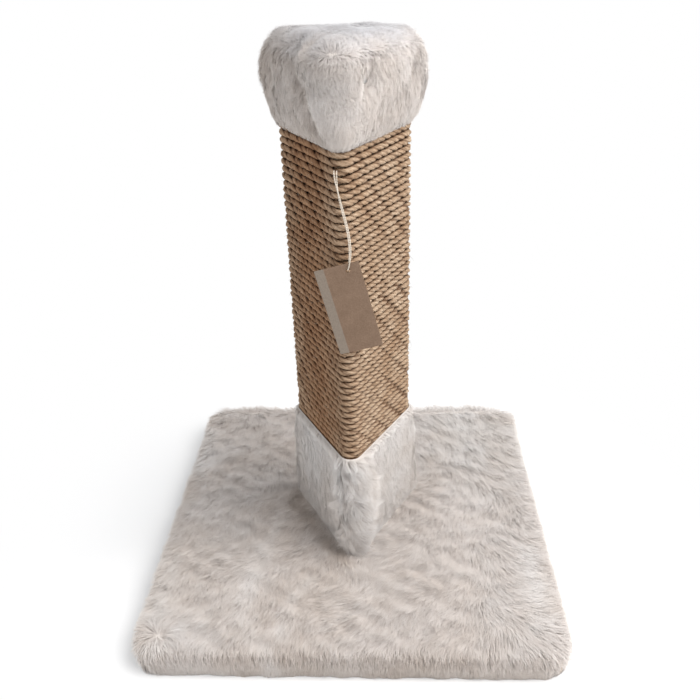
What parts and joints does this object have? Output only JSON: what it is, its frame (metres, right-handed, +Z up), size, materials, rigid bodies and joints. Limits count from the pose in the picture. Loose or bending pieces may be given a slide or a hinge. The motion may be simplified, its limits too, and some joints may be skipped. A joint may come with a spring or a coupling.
{
  "type": "cat scratching post",
  "caption": "Floor-standing scratching post: a rope-wound triangular post with a plush collar and padded cap, on a square plush-covered board, with a plain card on twine.",
  "frame": {"origin": "centre of the underside of the base, on the floor", "axes": "+Z up along the post; -Y towards the front corner of the post, where the card hangs"},
  "size_m": [0.47, 0.47, 0.6],
  "materials": {
    "board_wood": "sawn",
    "core_wood": "planed",
    "plush": "long pile",
    "lining_felt": "needled felt",
    "sisal": "three-strand twisted rope",
    "foam": "open cell foam",
    "steel": "zinc plated",
    "kraft_card": "uncoated card",
    "twine": "two-ply twisted"
  },
  "bodies": {
    "post": {"base_board": "board_wood", "base_fur": "plush", "base_lining": "lining_felt", "hem_staples": "steel", "post_side_back": "core_wood", "post_side_left": "core_wood", "post_side_right": "core_wood", "post_foot_block": "core_wood", "post_head_block": "core_wood", "side_nails": "steel", "post_screws": "steel", "rope_lower": "sisal", "rope_upper": "sisal", "rope_nails": "steel", "collar_fur": "plush", "collar_staples": "steel", "cap_pad": "foam", "cap_fur": "plush", "cap_tacks": "steel"},
    "hang_string": {"tag_string": "twine"},
    "hang_tag": {"tag_card": "kraft_card"}
  },
  "joints": [
    {"name": "string_lift", "type": "hinge", "parent": "post", "child": "hang_string", "pos_m": [-0.00435, -0.079, 0.4946], "axis": [-1, 0, 0], "range_deg": [0, 80]},
    {"name": "tag_turn", "type": "hinge", "parent": "hang_string", "child": "hang_tag", "pos_m": [0.0044, -0.0802, 0.3989], "axis": [0, -1, 0], "range_deg": [-90, 90]}
  ]
}
